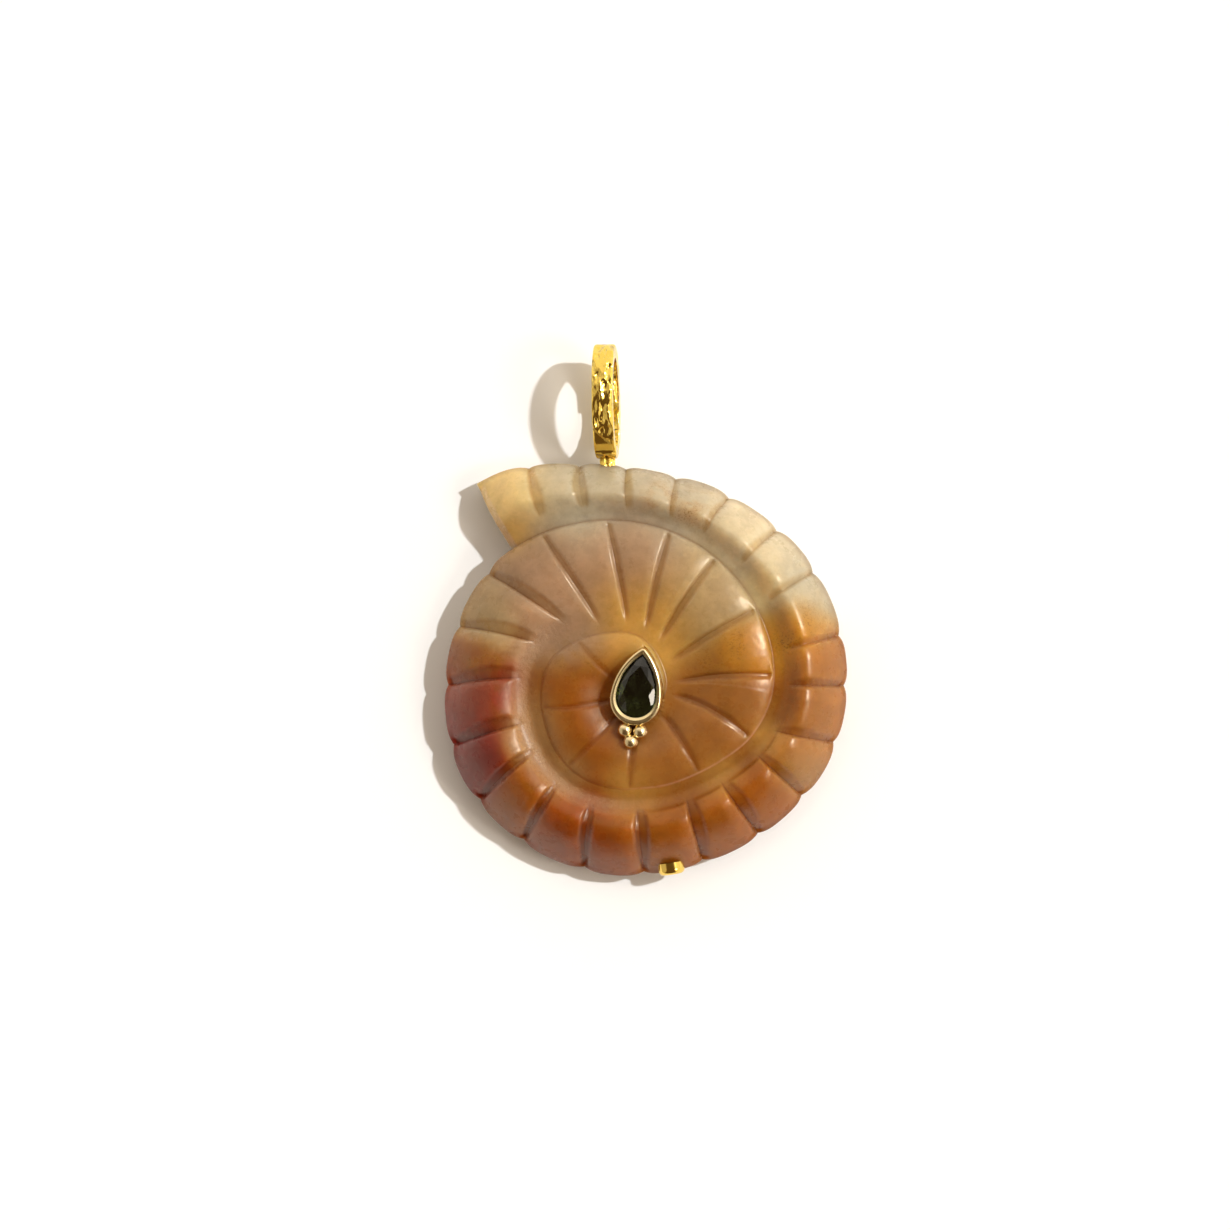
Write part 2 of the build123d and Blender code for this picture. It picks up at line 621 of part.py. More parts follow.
with BuildPart() as pear_stone:
    facets = [table]
    for i in range(8):
        j, corner, after = (i + 1) % 8, 2 * i, (2 * i + 2) % 16
        facets += [
            (table[i], star[i], table[j]),
            (table[i], star[i - 1], girdle[corner]),
            (table[i], girdle[corner], star[i]),
            (star[i], girdle[corner], girdle[corner + 1]),
            (star[i], girdle[corner + 1], girdle[after]),
            (pavilion[i], lower_girdle[corner + 1], lower_girdle[corner]),
            (pavilion[i], lower_girdle[after], lower_girdle[corner + 1]),
            (pavilion[i - 1], pavilion[i], lower_girdle[corner]),
            (culet, pavilion[i], pavilion[i - 1]),
        ]
    for k in range(16):
        facets.append((girdle[k], lower_girdle[k], lower_girdle[(k + 1) % 16], girdle[(k + 1) % 16]))
    add(Solid(Shell([Face(Wire.make_polygon(facet)) for facet in facets])))

pear_stone.part.label = "pear_stone"
export_step(pear_stone.part, "parts/pear_stone.step")
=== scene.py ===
import math
from collections import namedtuple

import bpy
import numpy as np
from mathutils import Matrix, Vector


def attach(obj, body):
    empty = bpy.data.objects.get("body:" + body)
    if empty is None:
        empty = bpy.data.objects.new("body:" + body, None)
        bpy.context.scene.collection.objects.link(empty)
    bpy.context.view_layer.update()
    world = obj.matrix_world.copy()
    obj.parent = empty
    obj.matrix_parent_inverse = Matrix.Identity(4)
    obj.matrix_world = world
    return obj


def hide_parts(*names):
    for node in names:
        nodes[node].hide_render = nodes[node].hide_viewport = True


# Lengths in the tables are in millimetres, in the frame of the CAD model. Turns are in
# degrees, clockwise from the shell's lip. Colours are sRGB, 0 to 255.
MM = 0.001

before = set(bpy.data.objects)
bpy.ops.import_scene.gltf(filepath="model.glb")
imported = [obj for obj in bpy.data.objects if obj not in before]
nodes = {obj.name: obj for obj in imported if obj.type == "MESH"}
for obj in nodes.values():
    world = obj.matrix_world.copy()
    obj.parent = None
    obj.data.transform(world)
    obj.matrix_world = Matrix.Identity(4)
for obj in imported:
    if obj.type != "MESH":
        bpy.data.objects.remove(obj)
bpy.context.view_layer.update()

# The carved shell, with the sizes and tables of the CAD model
shell_reach = 28.8
shell_thickness = 8.0
lip_bearing = 128.0
lip_lean = -3.5
lobes_end = 790.0
lip_bevel = 0.8
lip_drop = 0.9
scallop_depth = 0.42
slope_power = 1.6
back_round = 1.3
whorl_turn = 357.5
bezel_x = 0.54
bezel_y = 0.72
bezel_lean = -9.3
bezel_seat = 6.8
bezel_width = 5.55
bezel_length = 8.5

# What the visible shell adds to it
mesh_step = 0.17          # length of the mesh's edges along the spiral
mesh_rows = 52            # rows across a whorl
pillow_depth = 0.34       # fall from a lobe's middle to its sides
steep_side = 0.36         # width of the slope on a groove's steep side
gentle_side = 0.55        # width of the slope on its other side
outer_reach = 0.80        # where the outer whorl's grooves end, as a share of its width
inner_reach = 0.92        # where the inner whorls' grooves end
shade_line_width = 0.10         # painted shade lines at the feet of a groove's sides
rim_shade_width = 0.35          # painted shade along the shell's edge
seam_width = 0.12         # painted shade line, and painted highlight, along the seam between the whorls
pillow_end = 0.30         # step down from the lobes' inner ends to the smooth channel

Edge = namedtuple("Edge", "turn radius")
SPIRAL = [
    Edge(0, 1.000), Edge(7, 0.977), Edge(15, 0.934), Edge(24, 0.889), Edge(34, 0.856),
    Edge(45, 0.832), Edge(58, 0.825), Edge(70, 0.816), Edge(85, 0.816), Edge(100, 0.809),
    Edge(118, 0.797), Edge(133, 0.785), Edge(150, 0.764), Edge(168, 0.727), Edge(188, 0.698),
    Edge(206, 0.688), Edge(225, 0.698), Edge(245, 0.712), Edge(265, 0.729), Edge(283, 0.745),
    Edge(302, 0.738), Edge(320, 0.734), Edge(338, 0.733), Edge(350, 0.729), Edge(357.5, 0.715),
    Edge(367, 0.696), Edge(378, 0.674), Edge(399, 0.639), Edge(423, 0.601), Edge(450, 0.561),
    Edge(473, 0.538), Edge(489, 0.517), Edge(510, 0.465), Edge(524, 0.420), Edge(541, 0.384),
    Edge(558, 0.368), Edge(575, 0.361), Edge(608, 0.377), Edge(626, 0.373), Edge(649, 0.358),
    Edge(680, 0.349), Edge(694, 0.330), Edge(709, 0.292), Edge(730, 0.252), Edge(761, 0.215),
    Edge(778, 0.184), Edge(801, 0.149), Edge(827, 0.128), Edge(900, 0.090), Edge(960, 0.056),
]

# Extra rows of the mesh, this far past a groove's line, in millimetres
GROOVE_STEPS = (-0.21, -0.14, -0.07, 0.0, 0.07, 0.14, 0.21)

Relief = namedtuple("Relief", "turn edge crest crest_at fullness")
RELIEF = [
    Relief(0, 0.34, 0.62, 0.50, 1.0), Relief(9, 0.44, 0.84, 0.50, 1.0),
    Relief(22, 0.46, 0.94, 0.51, 1.0), Relief(60, 0.43, 0.97, 0.52, 1.0),
    Relief(120, 0.38, 0.99, 0.53, 1.0), Relief(180, 0.35, 1.00, 0.54, 1.0),
    Relief(240, 0.34, 1.00, 0.55, 1.0), Relief(290, 0.38, 1.00, 0.55, 1.0),
    Relief(325, 0.43, 1.00, 0.53, 1.0), Relief(345, 0.46, 1.00, 0.50, 1.0),
    Relief(357.5, 0.60, 1.00, 0.44, 1.2), Relief(375, 0.80, 1.00, 0.38, 1.6),
    Relief(450, 0.83, 1.00, 0.36, 1.6), Relief(540, 0.84, 1.00, 0.35, 1.6),
    Relief(620, 0.85, 0.99, 0.38, 1.6), Relief(700, 0.86, 0.97, 0.42, 1.6),
    Relief(780, 0.87, 0.95, 0.40, 1.6), Relief(830, 0.87, 0.93, 0.40, 1.6),
    Relief(960, 0.86, 0.86, 0.50, 1.6),
]

# Grooves as in the CAD model, with the depth and width of the strip ground along each, in
# millimetres, and which of its sides is steep: -1 the first one going clockwise, 1 the other
Groove = namedtuple("Groove", "turn lean depth cut width side")
GROOVES = [
    Groove(0.0, lip_lean, 0.0, 0.0, 0.1, 0), Groove(12.0, -3, 0.8, 0.13, 0.9, -0.6),
    Groove(23.5, -1, 0.9, 0.16, 1.1, 0), Groove(35.0, 1, 0.9, 0.10, 0.5, -1),
    Groove(48.2, 2, 1.0, 0.10, 0.3, -1), Groove(63.2, -2, 1.0, 0.13, 0.3, 1),
    Groove(78.8, -1, 1.0, 0.13, 0.4, 1), Groove(93.8, 0, 1.0, 0.14, 0.4, 1),
    Groove(112.3, 0, 1.0, 0.21, 0.3, 1), Groove(126.1, -1, 1.0, 0.21, 0.4, 1),
    Groove(142.2, 1, 1.0, 0.23, 0.6, 1), Groove(160.1, -7, 1.0, 0.30, 0.8, 1),
    Groove(177.5, -5, 1.0, 0.32, 1.0, 1), Groove(197.0, -7, 1.0, 0.32, 1.0, 1),
    Groove(216.2, -1, 1.0, 0.32, 1.0, 0.4), Groove(235.1, 5, 1.0, 0.32, 0.9, 0),
    Groove(256.0, 3, 1.0, 0.33, 0.9, 0), Groove(273.9, 5, 1.0, 0.33, 1.0, -0.4),
    Groove(292.1, 1, 1.0, 0.33, 1.0, -1), Groove(310.1, 7, 1.0, 0.30, 1.0, -1),
    Groove(328.1, 9, 1.0, 0.24, 1.0, -1), Groove(346.4, 8, 0.9, 0.22, 0.9, -1),
    Groove(367.5, 4, 0.9, 0.18, 0.5, -0.4), Groove(389.2, 3, 1.0, 0.18, 0.5, -0.4),
    Groove(410.5, -3, 1.0, 0.18, 0.5, -0.4), Groove(429.5, -6, 0.9, 0.18, 0.5, -0.4),
    Groove(453.9, -7, 1.0, 0.12, 0.5, -0.4), Groove(480.8, -9, 1.0, 0.15, 0.5, -0.4),
    Groove(509.0, -20, 0.9, 0.14, 0.5, 0), Groove(538.7, -14, 0.7, 0.11, 0.4, 0),
    Groove(580.6, -3, 0.6, 0.09, 0.4, 0), Groove(620.0, -6, 0.4, 0.06, 0.3, 0),
    Groove(658.9, -10, 0.4, 0.06, 0.3, 0), Groove(711.0, -8, 0.4, 0.05, 0.3, 0),
    Groove(lobes_end, 0, 0.0, 0.0, 0.1, 0),
]

# Colours of the stone, as judged
STONE = {
    "milk": (192, 177, 145),
    "mist": (168, 157, 132),
    "straw": (205, 178, 120),
    "sand": (162, 136, 95),
    "rose": (155, 122, 92),
    "tan": (150, 110, 64),
    "honey": (180, 134, 62),
    "ochre": (172, 116, 32),
    "caramel": (142, 90, 34),
    "amber": (138, 76, 12),
    "russet": (135, 62, 8),
    "clay": (130, 55, 34),
    "wine": (116, 22, 14),
}

# Where each colour lies: a place on the stone's face, and how far the patch reaches
Patch = namedtuple("Patch", "x y reach colour")
# the pale milk and mist patches along the top and right edges are partly the stone's own colour and partly
# painted light, for light shining through the thin stone there
PATCHES = [
    Patch(-14.5, 21.5, 4.0, "straw"), Patch(-13.5, 17.0, 1.6, "honey"), Patch(-6.0, 22.0, 4.5, "mist"),
    Patch(4.0, 21.0, 4.5, "mist"), Patch(12.0, 16.5, 3.5, "milk"), Patch(18.0, 12.0, 3.5, "mist"),
    Patch(17.0, 6.5, 2.5, "ochre"), Patch(20.5, 2.0, 3.0, "caramel"), Patch(19.5, -4.0, 3.5, "caramel"),
    Patch(15.5, 0.0, 2.0, "amber"), Patch(19.0, -8.5, 2.5, "tan"), Patch(13.0, -12.0, 4.0, "amber"),
    Patch(3.0, -16.0, 4.5, "amber"), Patch(-6.0, -16.0, 4.5, "russet"), Patch(-13.5, -12.0, 2.5, "amber"),
    Patch(-17.5, -9.0, 2.2, "wine"), Patch(-19.5, -5.0, 2.5, "wine"), Patch(-18.0, -1.0, 3.0, "clay"),
    Patch(-18.5, 3.5, 2.0, "amber"), Patch(-17.0, 9.0, 3.0, "sand"), Patch(-10.0, 13.0, 4.0, "rose"),
    Patch(0.0, 15.0, 4.0, "rose"), Patch(8.0, 12.0, 4.0, "sand"), Patch(1.0, 8.0, 4.0, "honey"),
    Patch(-7.0, 7.0, 3.0, "rose"), Patch(12.0, 4.5, 2.0, "ochre"), Patch(10.0, -2.0, 4.0, "caramel"),
    Patch(4.0, -7.0, 4.0, "caramel"), Patch(-5.0, -2.0, 4.0, "amber"), Patch(-10.5, -4.0, 2.5, "tan"),
    Patch(0.0, -11.0, 2.5, "honey"), Patch(-7.5, -9.0, 2.0, "tan"), Patch(9.5, -9.0, 1.8, "honey"),
    Patch(14.0, 11.5, 1.6, "straw"), Patch(15.0, 3.0, 1.6, "ochre"), Patch(14.5, -5.0, 1.6, "honey"),
]

# Places where brown specks gather in the stone
Spot = namedtuple("Spot", "x y reach strength")
SPECKS = [
    Spot(3.0, 21.0, 2.0, 0.7), Spot(6.5, 19.8, 2.2, 0.8), Spot(18.2, 7.4, 2.2, 0.9),
    Spot(16.4, 5.6, 1.8, 1.0), Spot(8.6, 3.6, 1.8, 0.9), Spot(11.6, 5.0, 2.0, 0.9),
    Spot(-15.6, 3.6, 1.4, 0.9), Spot(-17.6, 3.2, 1.0, 0.9), Spot(-7.0, 3.4, 1.8, 0.8),
    Spot(-5.2, 3.4, 1.2, 0.8), Spot(17.0, -8.5, 1.8, 0.8), Spot(14.2, -0.9, 1.5, 0.6),
]

# Stretches of the spiral that carry a mark: its first and last turn, and how softly it fades
Stretch = namedtuple("Stretch", "start end soft")
INNER_STEP = Stretch(125, whorl_turn, 50)
# painted shade along the seam between the whorls, dark and then faint
SEAM_SHADE = Stretch(-40, 150, 40)
FAINT_SEAM_SHADE = Stretch(330, 500, 40)
# painted highlight on the next whorl's edge
EDGE_HIGHLIGHT = Stretch(110, 235, 30)
# painted shade line at the lobes' inner ends
LOBE_ENDS = Stretch(128, 222, 20)
# frosted band, paler partly from painted light where its slopes face the key light
FROST_AND_LIGHT = Stretch(205, 352, 25)
STAIN = Stretch(175, 345, 25)

# The hammered bail's smooth foot, which ends in a V at the front
foot_middle = -2.7        # x of the V's point
foot_top = 26.9           # y of the V's point
foot_rise = 0.9           # rise of the V for each millimetre to the side
foot_front = 6.2          # the foot is smooth from this height up

# Key light: degrees above the floor, and from +X towards +Y
key_elevation = 46.5
key_azimuth = 20.3
key_energy = 2.5

# Direction of the window's bright pane
PANE = (0.751, -0.136, 0.646)

# Photograph: its scale, and where the frame's origin lies in it
pixels = 1230
pixels_per_mm = 9.2
centre_u = 638.0
centre_v = 692.0
focus_z = 3.0
camera_tilt = 6.3         # degrees, the camera leans towards +X
camera_distance = 620.0


def row_index(table, turns):
    """Index of the last row, but one at most, that starts at or before each turn."""
    keys = np.array([row.turn for row in table], float)
    return np.clip(np.searchsorted(keys, turns, side="right") - 1, 0, len(table) - 2), keys


def table_value(table, column, turns):
    """Smooth values of one column of a table at many turns: a cubic through its rows."""
    turns = np.asarray(turns, float)
    i, keys = row_index(table, turns)
    values = np.array([getattr(row, column) for row in table], float)
    before, after = np.maximum(i - 1, 0), np.minimum(i + 2, len(table) - 1)
    span = keys[i + 1] - keys[i]
    slope1 = (values[i + 1] - values[before]) / (keys[i + 1] - keys[before]) * span
    slope2 = (values[after] - values[i]) / (keys[after] - keys[i]) * span
    s = np.clip((turns - keys[i]) / span, 0, 1)
    return (
        values[i] * (1 + 2 * s) * (1 - s) ** 2
        + slope1 * s * (1 - s) ** 2
        + values[i + 1] * s * s * (3 - 2 * s)
        + slope2 * s * s * (s - 1)
    )


def ease(share):
    """A share, held between 0 and 1, with a soft start and end."""
    share = np.clip(share, 0, 1)
    return share * share * (3 - 2 * share)


def lobe_place(turns):
    """For each turn: its place in its lobe from 0 to 1, and the row of the nearest groove."""
    i, keys = row_index(GROOVES, turns)
    s = np.clip((turns - keys[i]) / (keys[i + 1] - keys[i]), 0, 1)
    return s, np.where(s < 0.5, i, i + 1)


def edge_radius(turns):
    """Radius of the spiral's edge, with the scallops of the outline."""
    turns = np.asarray(turns, float)
    s, nearest = lobe_place(turns)
    dip = np.array([row.depth for row in GROOVES])[nearest] * np.abs(2 * s - 1) ** 4
    smooth = shell_reach * table_value(SPIRAL, "radius", turns)
    return smooth - scallop_depth * ease((whorl_turn - 4 - turns) / 4) * dip


def groove_profile(turns, across, radius):
    """Depth below the lobes' middles, and the shares of groove floor and of painted shade line at each
    point.
    """
    s, nearest = lobe_place(turns)
    depth, cut, width, side, at = (
        np.array([getattr(row, name) for row in GROOVES])[nearest]
        for name in ("depth", "cut", "width", "side", "turn")
    )
    past = np.radians(turns - at) * radius
    reach = np.where(turns > whorl_turn, inner_reach, outer_reach)
    taper = (0.35 + 0.65 * ease(across / 0.35)) * np.sqrt(np.clip((reach - across) / 0.3, 0, 1))
    start, end = (-1 - side) / 2 * width * taper, (1 - side) / 2 * width * taper
    fade = ease(across / 0.06) * ease((reach - across) / 0.12)
    first = steep_side + (gentle_side - steep_side) * np.maximum(0, side)
    last = steep_side + (gentle_side - steep_side) * np.maximum(0, -side)
    floor = ease((past - start + first) / first) * ease((end + last - past) / last) * fade
    shade_lines = (1 - 0.8 * np.maximum(0, side)) * np.exp(-(((past - start) / shade_line_width) ** 2))
    shade_lines += (1 - 0.8 * np.maximum(0, -side)) * np.exp(-(((past - end) / shade_line_width) ** 2))
    shade_lines *= ease((reach - across) / 0.1) * np.minimum(1, cut / 0.36) ** 1.5
    # the end of a lobe that faces the light is a broad even slope
    to_end = np.abs(2 * s - 1)
    lit = np.sin(np.radians(lip_bearing - turns)) * np.where(s > 0.5, 1, -1) > 0
    rounding = np.where(lit, 1.25 * np.clip((to_end - 0.4) / 0.6, 0, 1) ** 1.5, to_end**2.4)
    pillow = pillow_depth * depth * (0.45 + 0.55 * cut / 0.34) * rounding
    pillow *= ease(across / 0.06) * ease((reach + 0.04 - across) / 0.3)
    return pillow + 0.8 * cut * floor, floor, shade_lines


def window(turns, stretch):
    """1 inside a stretch of the spiral, falling softly to 0 at its ends."""
    return ease((turns - stretch.start) / stretch.soft) * ease((stretch.end - turns) / stretch.soft)


def shell_points(turns, across):
    """Points of the shell's face at turns and shares of the whorl's width, and the marks at each."""
    last_turn = SPIRAL[-1].turn
    outer = edge_radius(turns)
    lean = table_value(GROOVES, "lean", turns)
    inner_turn = np.minimum(turns + 360 + lean, last_turn)
    inner = edge_radius(inner_turn)
    radius = outer + (inner - outer) * across
    edge, crest, crest_at, fullness = (table_value(RELIEF, name, turns) for name in Relief._fields[1:])
    floor = table_value(RELIEF, "edge", inner_turn)
    slope = np.clip(1 - across / crest_at, 0, 1) ** slope_power
    rise = edge + (crest - edge) * (1 - slope) ** (1 / fullness)
    fall = crest + (floor - crest) * ease((across - crest_at) / (0.9 - crest_at))
    depth, channel, shade_lines = groove_profile(turns, across, radius)
    height = shell_thickness * np.where(across < crest_at, rise, fall) - depth
    ends = ease((across - 0.70) / 0.07) * ease((1.0 - across) / 0.12)
    height -= pillow_end * ends * window(turns, INNER_STEP)
    bevel_turn = np.degrees(lip_bevel / radius)
    height -= lip_drop * np.maximum(0, 1 - turns / bevel_turn) * np.minimum(1, across / 0.1)
    bearing = np.radians(lip_bearing - turns - lean * across)
    points = np.stack([radius * np.cos(bearing), radius * np.sin(bearing), height], axis=-1)
    # the seam carries painted shade, dark from the lip round to the right and faint on the next whorl;
    # below, it is left light
    whorl_width = outer - inner
    to_inner = np.exp(-(((1 - across) * whorl_width / seam_width) ** 2))
    to_outer = np.exp(-((across * whorl_width / seam_width) ** 2)) * (turns > whorl_turn)
    seam = sum(
        strength * (to_inner * window(turns, stretch) + to_outer * window(turns - 360, stretch))
        for stretch, strength in ((SEAM_SHADE, 1.0), (FAINT_SEAM_SHADE, 0.6))
    )
    # painted shade also darkens a line at the lobes' inner ends at the lower right
    to_lobe_end = (across - 0.735) * whorl_width / shade_line_width
    lobe_ends = np.exp(-(to_lobe_end**2)) * window(turns, LOBE_ENDS)
    marks = {
        "channel": channel,
        # painted shade in the grooves' creases, along the seam and at the lobes' inner ends
        "shade_lines": np.minimum(1, shade_lines + 0.7 * seam + 0.8 * lobe_ends * (1 - channel)),
        # painted highlight along the next whorl's edge at the right and below
        "edge_highlight": 0.7 * to_outer * window(turns - 360, EDGE_HIGHLIGHT),
        # frosted band on the slopes facing the key light: ground stone, with painted light in its colour
        "frost_and_light": ease((across - 0.69) / 0.04) * ease((0.95 - across) / 0.14) * window(turns, FROST_AND_LIGHT),
        # painted shade along the shell's edge goes where this is low
        "inland": 1 - np.exp(-((across * whorl_width / rim_shade_width) ** 2)) * (turns < whorl_turn),
        "stain": np.exp(-(((across - 0.60) / 0.10) ** 2)) * window(turns, STAIN),
    }
    return points, marks


def wall_points(turns, across, inset, height):
    """Points on the shell's side wall, moved inwards by inset."""
    lead = math.degrees(inset / shell_reach)
    on_rim = across == 0
    lip_start, lip_end = edge_radius(0.0), edge_radius(whorl_turn)
    turn_in = np.where(on_rim, turns + lead * np.maximum(0, 1 - turns / 12), lead + lip_lean * across)
    radius = np.where(on_rim, edge_radius(turns), lip_start + (lip_end - lip_start) * across) - inset
    bearing = np.radians(lip_bearing - turn_in)
    heights = np.full(len(turns), height)
    return np.stack([radius * np.cos(bearing), radius * np.sin(bearing), heights], axis=-1)


def fine_turns():
    """Turns an even step apart along the spiral, with the turn where the lip meets the next whorl."""
    coarse = np.linspace(0, SPIRAL[-1].turn, 4000)
    radius = np.maximum(edge_radius(coarse), 4.0)
    travel = np.concatenate([[0], np.cumsum(np.radians(np.diff(coarse)) * radius[1:])])
    turns = np.interp(np.linspace(0, travel[-1], round(travel[-1] / mesh_step)), travel, coarse)
    # more rows around each groove's line
    extra = [
        row.turn + math.degrees(step / edge_radius(row.turn))
        for row in GROOVES[1:-1]
        for step in GROOVE_STEPS
    ]
    turns = np.sort(np.append(turns, extra))
    return np.sort(np.append(turns[np.abs(turns - whorl_turn) > 0.15], whorl_turn))


def zip_rows(row_a, keys_a, row_b, keys_b):
    """Triangles between two rows of vertices, each in order of its keys."""
    i = j = 0
    triangles = []
    while i < len(row_a) - 1 or j < len(row_b) - 1:
        step_a = j == len(row_b) - 1 or (i < len(row_a) - 1 and keys_a[i + 1] <= keys_b[j + 1])
        if step_a:
            triangles.append((row_a[i], row_a[i + 1], row_b[j]))
            i += 1
        else:
            triangles.append((row_a[i], row_b[j + 1], row_b[j]))
            j += 1
    return triangles


def shell_mesh():
    """Points and faces of the whole closed shell, and the marks at each point of its face."""
    turns = fine_turns()
    last_turn = SPIRAL[-1].turn
    rows = 0.985 * np.linspace(0, 1, mesh_rows) ** 1.35
    grid_turns, grid_across = np.meshgrid(turns, rows, indexing="ij")
    points, marks = shell_points(grid_turns.ravel(), grid_across.ravel())
    index = np.arange(len(points)).reshape(len(turns), mesh_rows)
    faces = []
    for i in range(len(turns) - 1):
        a, b = index[i], index[i + 1]
        faces += [(a[k], b[k], b[k + 1], a[k + 1]) for k in range(mesh_rows - 1)]
    # each whorl's inner row is joined to the outer edge of the next whorl
    split = int(np.searchsorted(turns, last_turn - 366)) - 1
    seam = int(np.searchsorted(turns, whorl_turn))
    inner_keys = turns[: split + 1] + 360 + table_value(GROOVES, "lean", turns[: split + 1]) * rows[-1]
    faces += zip_rows(index[: split + 1, -1], inner_keys, index[seam:, 0], turns[seam:])
    hub = len(points)
    loop = [index[-1, 0], *index[split:, -1]]
    faces += [(a, b, hub) for a, b in zip(loop, loop[1:])]
    extra = [np.array([[0.0, 0.0, points[index[-1, 0], 2]]])]
    # side wall, from the rim and the lip down to the flat back
    rim_turns = np.concatenate([turns[: seam + 1], np.zeros(mesh_rows - 1)])
    rim_across = np.concatenate([np.zeros(seam + 1), rows[:0:-1]])
    ring = [*index[: seam + 1, 0], *index[0, :0:-1]]
    count = hub + 1
    for share in np.linspace(0, 1, 10)[1:]:
        inset = back_round * (1 - math.sqrt(1 - share**2))
        height = RELIEF[0].edge * shell_thickness * (1 - share)
        lower = list(range(count, count + len(ring)))
        for i in range(len(ring)):
            j = (i + 1) % len(ring)
            faces.append((ring[j], ring[i], lower[i], lower[j]))
        extra.append(wall_points(rim_turns, rim_across, inset, height))
        ring = lower
        count += len(ring)
    faces += [(ring[(i + 1) % len(ring)], ring[i], count) for i in range(len(ring))]
    extra.append(np.zeros((1, 3)))
    points = np.concatenate([points, *extra])
    return points, faces, marks


def in_bezel(points, margin):
    """Which points lie inside the pear outline of the bezel, widened by margin."""
    lean = math.radians(bezel_lean)
    x, y = points[:, 0] - bezel_x, points[:, 1] - bezel_y
    across = x * math.cos(lean) + y * math.sin(lean)
    along = y * math.cos(lean) - x * math.sin(lean)
    radius = bezel_width / 2 + margin
    rise = bezel_length + 2 * margin - radius
    flank = (radius**2 + rise**2) / (2 * radius)
    along = along + (bezel_length / 2 + margin - radius)
    half = np.where(
        along < 0,
        np.sqrt(np.maximum(radius**2 - along**2, 0)),
        radius - flank + np.sqrt(np.maximum(flank**2 - along**2, 0)),
    )
    return np.abs(across) < half


def linear(colour):
    """Linear light values of an sRGB colour given from 0 to 255."""
    share = np.asarray(colour, float) / 255
    return np.where(share <= 0.04045, share / 12.92, ((share + 0.055) / 1.055) ** 2.4)


def stone_colours(points):
    """Colour of the stone at each point, blended from the patches by distance."""
    total = np.zeros((len(points), 3))
    weights = np.full(len(points), 1e-9)
    for patch in PATCHES:
        gap = np.hypot(points[:, 0] - patch.x, points[:, 1] - patch.y) / patch.reach
        weight = np.exp(-(gap**2)) + 1e-6 / (1 + gap**2)
        total += weight[:, None] * np.array(STONE[patch.colour], float)
        weights += weight
    return linear(total / weights[:, None])


def spot_share(points, spots):
    """How far each point lies within any of some soft round spots, from 0 to 1."""
    share = np.zeros(len(points))
    for spot in spots:
        gap = np.hypot(points[:, 0] - spot.x, points[:, 1] - spot.y) / spot.reach
        share = np.maximum(share, spot.strength * np.exp(-(gap**2)))
    return share


def attribute(mesh, name, values):
    """Stores one value, or one colour, for each vertex of a mesh; vertices past the last value get 0."""
    if values.ndim == 2:
        layer = mesh.color_attributes.new(name, "FLOAT_COLOR", "POINT")
        flat = np.concatenate([values, np.ones((len(values), 1))], axis=1)
        layer.data.foreach_set("color", flat.astype(np.float32).ravel())
    else:
        layer = mesh.attributes.new(name, "FLOAT", "POINT")
        padded = np.concatenate([values, np.zeros(len(mesh.vertices) - len(values))])
        layer.data.foreach_set("value", padded.astype(np.float32))


class Nodes:
    """Shorthand for building a node tree that ends in one shader."""

    def __init__(self, owner, shader):
        owner.use_nodes = True
        self.tree = owner.node_tree
        self.shader = self.tree.nodes[shader]

    def add(self, kind, settings=(), **inputs):
        """A new node, with its settings and inputs."""
        node = self.tree.nodes.new("ShaderNode" + kind)
        for key, value in dict(settings).items():
            setattr(node, key, value)
        self.feed(node, inputs)
        return node

    def feed(self, node, inputs):
        """Sets or links a node's inputs, given by name or number."""
        for name, value in inputs.items():
            key = name.replace("_", " ") if isinstance(name, str) else name
            self.put(node.inputs[key], value)

    def put(self, socket, value):
        """Links a socket to another one, or sets its value."""
        if isinstance(value, bpy.types.NodeSocket):
            self.tree.links.new(value, socket)
        else:
            socket.default_value = value

    def noise(self, coordinate, scale, detail=3.0, roughness=0.5):
        """A noise texture."""
        return self.add("TexNoise", Vector=coordinate, Scale=scale, Detail=detail, Roughness=roughness)

    def place(self, output="Object"):
        """Coordinates of the shaded point."""
        return self.add("TexCoord").outputs[output]

    def blend(self, first, second, share, kind="MIX"):
        """Two colours mixed by a share."""
        node = self.add("Mix", {"data_type": "RGBA", "blend_type": kind})
        for socket, value in ((0, share), (6, first), (7, second)):
            self.put(node.inputs[socket], value)
        return node.outputs[2]

    def level(self, value, low, high, to_low=0.0, to_high=1.0):
        """A value moved softly from one range to another."""
        node = self.add("MapRange", {"interpolation_type": "SMOOTHSTEP"})
        for socket, number in enumerate((value, low, high, to_low, to_high)):
            self.put(node.inputs[socket], number)
        return node.outputs[0]

    def math(self, kind, first, second=0.0, third=0.0):
        """The result of an operation on up to three numbers."""
        node = self.add("Math", {"operation": kind})
        for socket, number in enumerate((first, second, third)):
            self.put(node.inputs[socket], number)
        return node.outputs[0]

    def bump(self, height, distance, strength=1.0):
        """Gives the shader a surface roughened by a height."""
        node = self.add("Bump", Height=height, Distance=distance, Strength=strength)
        self.feed(self.shader, {"Normal": node.outputs["Normal"]})

    def value(self, name):
        """A value stored on the mesh's vertices."""
        return self.add("Attribute", {"attribute_name": name}).outputs["Fac"]

    def finish(self, **inputs):
        """Sets or links the shader's own inputs."""
        self.feed(self.shader, inputs)


def rgba(colour):
    """A colour for a shader's socket."""
    return (*linear(colour), 1.0)


def new_material(name):
    """A material, and the shorthand for its nodes."""
    material = bpy.data.materials.new(name)
    return material, Nodes(material, "Principled BSDF")


